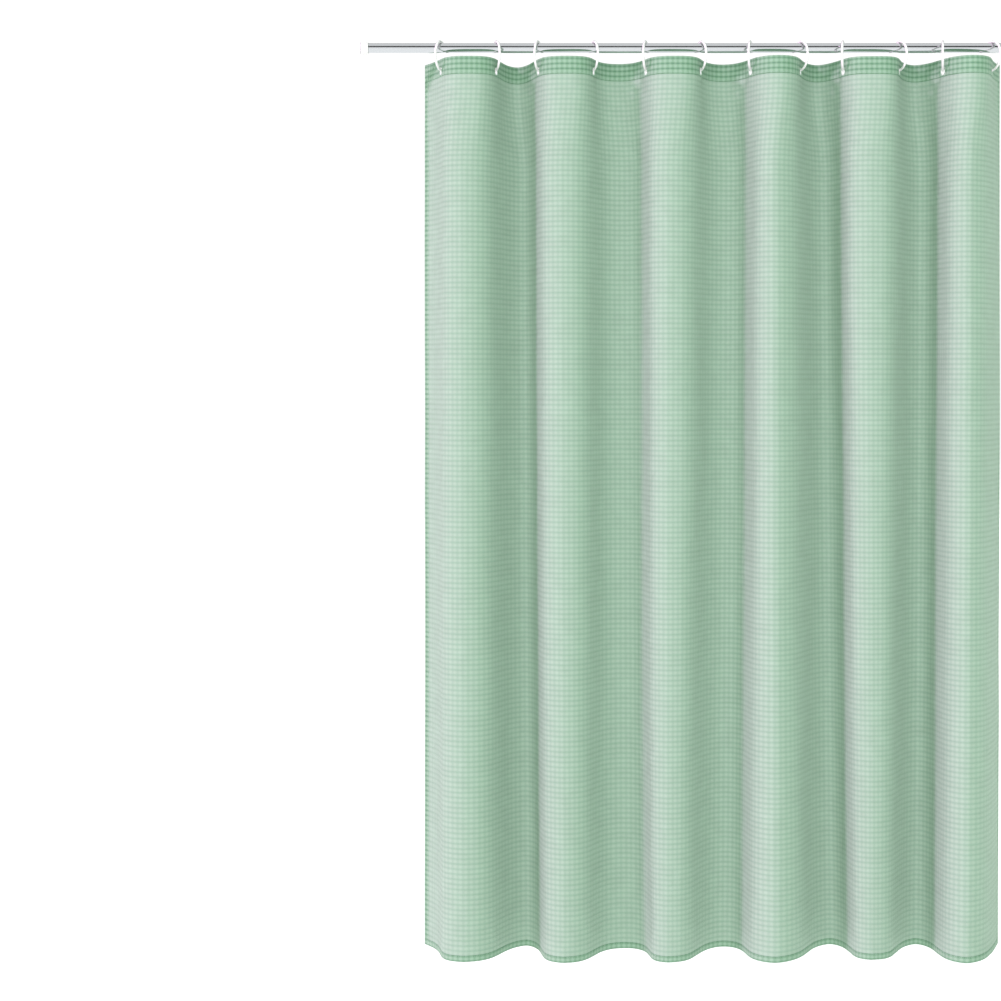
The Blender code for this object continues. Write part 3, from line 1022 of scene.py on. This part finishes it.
    def _buttonholes(self) -> None:
        """Work one buttonhole's corded rim by hand and copy it to each hole."""
        around = self.rim_stitches * 4
        deselect_all()
        bpy.ops.mesh.primitive_torus_add(
            major_radius=self.hole_radius,
            minor_radius=self.rim_radius,
            major_segments=around,
            minor_segments=10,
        )
        rim = bpy.context.object
        bpy.ops.object.mode_set(mode="EDIT")
        turns = [math.atan2(v.co.y, v.co.x) for v in rim.data.vertices]
        places = [round(turn / (2 * math.pi) * around) for turn in turns]
        valleys = [i for i, place in enumerate(places) if place % 4 == 0]
        select_vertices(rim.data, valleys)
        bpy.ops.transform.shrink_fatten(value=-self.stitch_valley)
        for sign in (1, -1):
            end = [i for i, turn in enumerate(turns) if sign * math.sin(turn) > 1e-6]
            select_vertices(rim.data, end)
            bpy.ops.transform.translate(value=(0, sign * self.hole_straight / 2, 0))
        bpy.ops.mesh.select_all(action="SELECT")
        bpy.ops.transform.resize(value=(1, 1, self.rim_flatness), center_override=(0, 0, 0))
        bpy.ops.object.mode_set(mode="OBJECT")
        bpy.ops.object.shade_smooth()
        for k, (across, _) in enumerate(self.hole_places()):
            low, high = (Vector(corner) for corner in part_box(f"buttonhole_{k + 1:02d}"))
            angle = self.cloth.heading(across - self.cloth.margin)
            turn = Matrix.Rotation(angle, 4, "Z") @ Matrix.Rotation(math.pi / 2, 4, "X")
            worked = put(f"worked_buttonhole_{k + 1:02d}", rim.data.copy())
            worked.data.transform(Matrix.Translation((low + high) / 2) @ turn)
            node = [f"buttonhole_{k + 1:02d}"]
            dress(worked, self.thread, hook_body(k), node)
        bpy.data.objects.remove(rim, do_unlink=True)


@dataclass
class CurtainRings:
    """Twelve moulded C-rings with ball ends, turned a little to the left and right by turns."""

    finish: Finish
    wire_radius: float = 0.0025
    ring_radius: float = 0.029
    ball_radius: float = 0.0033
    start: float = math.radians(-58)
    end: float = math.radians(258)
    yaws_deg: tuple[float, ...] = (20, 15, 16, 15, 15, 16, 16, 20, 15, 18, 15, 20)
    flash: float = 0.00012
    steps: int = 88
    sides: int = 20

    def _at(self, angle: float) -> Vector:
        """The wire's middle at an angle from the top, forwards, on a ring at the origin."""
        return Vector((0.0, -math.sin(angle), math.cos(angle))) * self.ring_radius

    def _model(self) -> Piece:
        """Model one ring at the origin, facing forwards.

        Returns:
            The ring, open at the back.
        """
        deselect_all()
        bpy.ops.mesh.primitive_circle_add(
            vertices=self.sides,
            radius=self.wire_radius,
            location=self._at(self.start),
            rotation=(self.start + math.pi / 2, 0, 0),
        )
        ring = bpy.context.object
        ring.name = "ring_pattern"
        bpy.ops.object.transform_apply()
        bpy.ops.object.mode_set(mode="EDIT")
        # The two mould halves meet in the ring's own plane and leave a fine line there
        select_vertices(ring.data, [v.index for v in ring.data.vertices if abs(v.co.x) < 1e-6])
        grow = 1 + self.flash / self.wire_radius
        bpy.ops.transform.resize(value=(grow, grow, grow), center_override=self._at(self.start))
        bpy.ops.mesh.select_all(action="SELECT")
        turn = self.start - self.end
        bpy.ops.mesh.spin(steps=self.steps, angle=turn, center=(0, 0, 0), axis=(1, 0, 0))
        bpy.ops.mesh.select_all(action="SELECT")
        bpy.ops.mesh.fill_holes(sides=0)
        bpy.ops.mesh.select_all(action="SELECT")
        bpy.ops.mesh.normals_make_consistent(inside=False)
        bpy.ops.object.mode_set(mode="OBJECT")
        for angle in (self.start, self.end):
            deselect_all()
            bpy.ops.mesh.primitive_uv_sphere_add(
                segments=24, ring_count=16, radius=self.ball_radius, location=self._at(angle)
            )
            ball = bpy.context.object
            bpy.ops.object.transform_apply()
            join = ring.modifiers.new("Ball end", "BOOLEAN")
            join.operation, join.solver, join.object = "UNION", "EXACT", ball
            apply_modifiers(ring)
            bpy.data.objects.remove(ball, do_unlink=True)
        take(ring)
        bpy.ops.object.shade_smooth_by_angle(angle=math.radians(50))
        return ring

    def build(self) -> list[Piece]:
        """Make the rings in their places.

        Returns:
            The rings, from the left.
        """
        pattern = self._model()
        rings = []
        for k, yaw in enumerate(self.yaws_deg):
            name = f"ring_{k + 1:02d}"
            low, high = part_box(f"buttonhole_{k + 1:02d}")
            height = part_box(name)[1][2] - self.ring_radius - self.wire_radius
            middle = Vector(((low[0] + high[0]) / 2, 0.0, height))
            turn = math.radians(-yaw if k % 2 == 0 else yaw)
            ring = put(f"c_{name}", pattern.data.copy())
            ring.data.transform(Matrix.Translation(middle) @ Matrix.Rotation(turn, 4, "Z"))
            rings.append(dress(ring, self.finish, hook_body(k), [name]))
        bpy.data.objects.remove(pattern, do_unlink=True)
        return rings


@dataclass
class TensionRod:
    """A telescoping tube with a step collar, and a cup and pad at each end."""

    steel: Finish
    plastic: Finish
    rubber: Finish
    radius: float = 0.010
    wall: float = 0.001
    clearance: float = 0.0003
    cup_radius: float = 0.0135
    cup_shoulder: float = 0.010
    cup_length: float = 0.016
    cup_floor: float = 0.004
    pad_length: float = 0.003
    pad_rim: float = 0.0015
    grip_depth: float = 0.0008
    collar_wall: float = 0.0015
    collar_lip: float = 0.002
    sides: int = 72

    def build(self) -> None:
        """Make the rod's visible pieces, and dress the ones hidden inside it."""
        inner = self.radius - self.wall - self.clearance
        for name, node, radius, body in (
            ("outer_tube", "rod_outer_tube", self.radius, "rod"),
            ("inner_tube", "rod_inner_tube", inner, "rod_inner"),
        ):
            start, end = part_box(node)[0][0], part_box(node)[1][0]
            bore = radius - self.wall
            outline = [(start, bore), (end, bore), (end, radius), (start, radius)]
            tube = self._turned(name, outline, True, 0.0003)
            dress(tube, self.steel, body, [node])
        self._collar(inner)
        self._foot("left", 1, self.radius, "rod")
        self._foot("right", -1, inner, "rod_inner")
        for node, finish in (("expander_stud", self.steel), ("expander_plug", self.plastic)):
            for place in bpy.data.objects[node].material_slots:
                place.material = finish

    def _turned(
        self, name: str, outline: Sequence[tuple[float, float]], bored: bool, bevel: float
    ) -> Piece:
        """Turn a piece as on a lathe: a circle drawn out from one station to the next.

        Args:
            name: The piece's name.
            outline: Stations of (distance along X, radius).
            bored: Whether the outline closes on itself round a bore.
            bevel: How much its edges are rounded.

        Returns:
            The closed piece.
        """
        deselect_all()
        start_x, start_radius = outline[0]
        bpy.ops.mesh.primitive_circle_add(
            vertices=self.sides,
            radius=start_radius,
            fill_type="NOTHING" if bored else "NGON",
            location=(start_x, 0, 0),
            rotation=(0, math.pi / 2, 0),
        )
        piece = bpy.context.object
        piece.name = name
        bpy.ops.object.transform_apply()
        bpy.ops.object.mode_set(mode="EDIT")
        bpy.ops.mesh.select_all(action="SELECT")
        stations = list(outline) + ([outline[0]] if bored else [])
        for (x0, r0), (x1, r1) in zip(stations, stations[1:]):
            bpy.ops.mesh.extrude_region_move(TRANSFORM_OT_translate={"value": (x1 - x0, 0, 0)})
            bpy.ops.transform.resize(value=(1, r1 / r0, r1 / r0), center_override=(x1, 0, 0))
        bpy.ops.mesh.select_all(action="SELECT")
        bpy.ops.mesh.remove_doubles(threshold=1e-6)
        bpy.ops.mesh.normals_make_consistent(inside=False)
        bpy.ops.object.mode_set(mode="OBJECT")
        edge = piece.modifiers.new("Eased edges", "BEVEL")
        edge.width, edge.segments, edge.limit_method = bevel, 2, "ANGLE"
        edge.angle_limit = math.radians(30)
        apply_modifiers(piece)
        bpy.ops.object.shade_smooth_by_angle(angle=math.radians(40))
        return piece

    def _collar(self, inner: float) -> None:
        """Make the collar that covers the outer tube's end.

        Args:
            inner: The inner tube's radius.
        """
        low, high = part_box("step_collar")
        sleeve, lip = self.radius + self.clearance, inner + self.clearance
        shoulder = high[0] - self.collar_lip
        outline = [
            (low[0], sleeve),
            (shoulder, sleeve),
            (shoulder, lip),
            (high[0], lip),
            (high[0], lip + self.collar_wall),
            (shoulder, sleeve + self.collar_wall),
            (low[0], sleeve + self.collar_wall),
        ]
        collar = self._turned("collar", outline, True, 0.0004)
        dress(collar, self.plastic, "rod", ["step_collar"])

    def _foot(self, side: str, inward: int, tube: float, body: str) -> None:
        """Make one wall foot: a ribbed rubber pad in a plastic cup.

        Args:
            side: "left" or "right".
            inward: Direction from the wall along X.
            tube: The radius of the tube in its socket.
            body: The body that it moves with.
        """
        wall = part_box(f"foot_pad_{side}")[0 if inward > 0 else 1][0]
        gap, socket = self.clearance, tube + self.clearance
        pad = self.cup_radius - self.pad_rim - gap

        def at(*stations: tuple[float, float]) -> list[tuple[float, float]]:
            """Turn distances from the wall into places along X."""
            return [(wall + inward * distance, radius) for distance, radius in stations]

        # Two grip grooves are turned in the pad's face
        deep = self.grip_depth
        face: list[tuple[float, float]] = []
        for start, end in ((pad * 0.30, pad * 0.42), (pad * 0.62, pad * 0.74)):
            face.extend([(0.0, start), (deep, start), (deep, end), (0.0, end)])
        outline = at(*face, (0.0, pad), (self.pad_length, pad))
        piece = self._turned(f"wall_pad_{side}", outline, False, 0.0002)
        dress(piece, self.rubber, body, [f"foot_pad_{side}"])
        outline = at(
            (self.pad_length + gap, pad + gap),
            (self.pad_length / 2, pad + gap),
            (self.pad_length / 2, self.cup_radius),
            (self.cup_shoulder, self.cup_radius),
            (self.cup_length, socket + self.collar_wall),
            (self.cup_length, socket),
            (self.pad_length + self.cup_floor, socket),
        )
        piece = self._turned(f"wall_cup_{side}", outline, False, 0.0004)
        dress(piece, self.plastic, body, [f"foot_cup_{side}"])


# ---------------------------------------------------------------- studio


@dataclass(frozen=True)
class Lamp:
    """A far, soft lamp, so many degrees to the left of the curtain's front and so many up."""

    name: str
    strength: float
    colour: tuple[float, float, float]
    spread_deg: float
    aside_deg: float
    up_deg: float
    glossy: bool = True

    def hang(self) -> None:
        """Put the lamp in the scene."""
        data = bpy.data.lights.new(self.name, "SUN")
        data.energy, data.color = self.strength, self.colour
        data.angle = math.radians(self.spread_deg)
        lamp = put(self.name, data)
        lamp.visible_glossy = self.glossy
        aside, up = math.radians(self.aside_deg), math.radians(self.up_deg)
        level = Vector((-math.sin(aside), -math.cos(aside), 0.0)) * math.cos(up)
        source = level + Vector((0.0, 0.0, math.sin(up)))
        lamp.rotation_euler = source.to_track_quat("Z", "Y").to_euler()


@dataclass
class Studio:
    """A pale floor, a room of soft light, a key, a fill and a rear lamp, and the camera."""

    camera_place: tuple[float, float, float] = (0.286, -3.5, -0.676)
    lens: float = 61.6
    shift_y: float = -0.1214
    floor_z: float = -1.94
    key: Lamp = Lamp("key", 2.3, (1.0, 0.52, 0.93), 8.0, 65.0, 24.0)
    fill: Lamp = Lamp("fill", 2.2, (1.0, 0.82, 0.98), 50.0, 3.0, 14.0, glossy=False)
    rear: Lamp = Lamp("rear", 1.4, (1.0, 0.98, 1.0), 60.0, 155.0, 25.0, glossy=False)
    room: tuple[float, float, float] = (0.43, 0.64, 0.49)

    def build(self) -> None:
        """Make the whole studio."""
        self._camera()
        self._floor()
        self.key.hang()
        self.fill.hang()
        self.rear.hang()
        self._room()
        bpy.context.scene.view_settings.view_transform = "Standard"

    def _camera(self) -> None:
        """Place the camera level, in front of the curtain."""
        data = bpy.data.cameras.new("camera")
        data.lens, data.sensor_width, data.shift_y = self.lens, 36.0, self.shift_y
        data.clip_end = 60.0
        camera = put("camera", data)
        camera.location = self.camera_place
        camera.rotation_euler = (math.pi / 2, 0, 0)
        bpy.context.scene.camera = camera

    def _floor(self) -> None:
        """Lay a plain pale floor."""
        deselect_all()
        bpy.ops.mesh.primitive_plane_add(size=24, location=(0.7, 0, self.floor_z))
        floor = bpy.context.object
        floor.name = "floor"
        made, _, shader = new_material("Matt white floor paint")
        shader.inputs["Base Color"].default_value = linear("#A8A8A8")
        shader.inputs["Roughness"].default_value = 0.9
        shader.inputs["Specular IOR Level"].default_value = 0.1
        shader.inputs["Emission Color"].default_value = (1.0, 1.0, 1.0, 1.0)
        shader.inputs["Emission Strength"].default_value = 0.85
        floor.data.materials.append(made)

    def _room(self) -> None:
        """Light everything from a room with one dark strip that polished metal picks up."""
        world = bpy.data.worlds.new("room")
        bpy.context.scene.world = world
        world.use_nodes = True
        tree = world.node_tree
        tree.nodes.clear()
        direction = add_node(tree, "TexCoord").outputs["Generated"]
        height = add_node(tree, "SeparateXYZ", {0: direction}).outputs[2]
        middle = {0: height, 1: 0.43}
        away = add_node(tree, "Math", middle, operation="SUBTRACT").outputs[0]
        away = add_node(tree, "Math", {0: away}, operation="ABSOLUTE").outputs[0]
        edge = {"Value": away, "From Min": 0.17, "From Max": 0.22, "To Min": 0.03, "To Max": 0.95}
        strip = add_node(tree, "MapRange", edge, interpolation_type="SMOOTHSTEP")
        rays = add_node(tree, "LightPath").outputs
        # The room looks white, and what it lights is tinted green
        white = (1.0, 1.0, 1.0, 1.0)
        colour: Socket | Colour = (*self.room, 1.0)
        level: Socket | float = 1.0
        for ray, seen_level in (("Is Glossy Ray", strip.outputs[0]), ("Is Camera Ray", 1.05)):
            tint = {0: rays[ray], 6: colour, 7: white}
            colour = add_node(tree, "Mix", tint, data_type="RGBA").outputs[2]
            glow = {0: rays[ray], 2: level, 3: seen_level}
            level = add_node(tree, "Mix", glow, data_type="FLOAT").outputs[0]
        sky = {"Color": colour, "Strength": level}
        background = add_node(tree, "Background", sky)
        add_node(tree, "OutputWorld", {"Surface": background.outputs[0]})


def main() -> None:
    """Build the curtain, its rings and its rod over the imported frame."""
    logging.basicConfig(level=logging.INFO, format="%(name)s: %(message)s")
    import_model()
    Studio().build()
    cloth = HangingCloth()
    plain = WaffleCloth("Waffle-weave polyester, woven and dyed").build()
    # The hems' finish is darker and greener than the panel: painted shade for the light that passes
    # through single cloth but not through the doubled hems, with deeper painted shade in its gaps
    # and row grooves
    doubled_with_painted_shade = WaffleCloth(
        "Waffle-weave polyester, folded double",
        ground="#8AB092",
        weft_float_sheen="#95B89C",
        warp_float_shade="#74A07F",
        gap="#4E8260",
        row_groove_shade=0.5,
    ).build()
    thread = SewingThread().build()
    panel, pieces = ClothWork(cloth, plain, doubled_with_painted_shade, thread).build()
    # Glossy white ABS, moulded in a polished tool
    gloss = MouldedPlastic(
        "White ABS, polished mould", "#E9E9E7", "#E3E3E1", 0.14, coat=0.5
    ).build()
    # Polypropylene from a fine-grained mould is a little dull
    matt = MouldedPlastic("White polypropylene, grained mould", "#EDEDEA", "#E5E5E2", 0.38).build()
    # Thermoplastic rubber is dull and a little rough
    rubber = MouldedPlastic(
        "Grey thermoplastic rubber, moulded", "#B3B6B5", "#A6A9A8", 0.75, relief_mm=0.04
    ).build()
    rings = CurtainRings(gloss).build()
    TensionRod(ChromedTube().build(), matt, rubber).build()


if __name__ == "__main__":
    main()
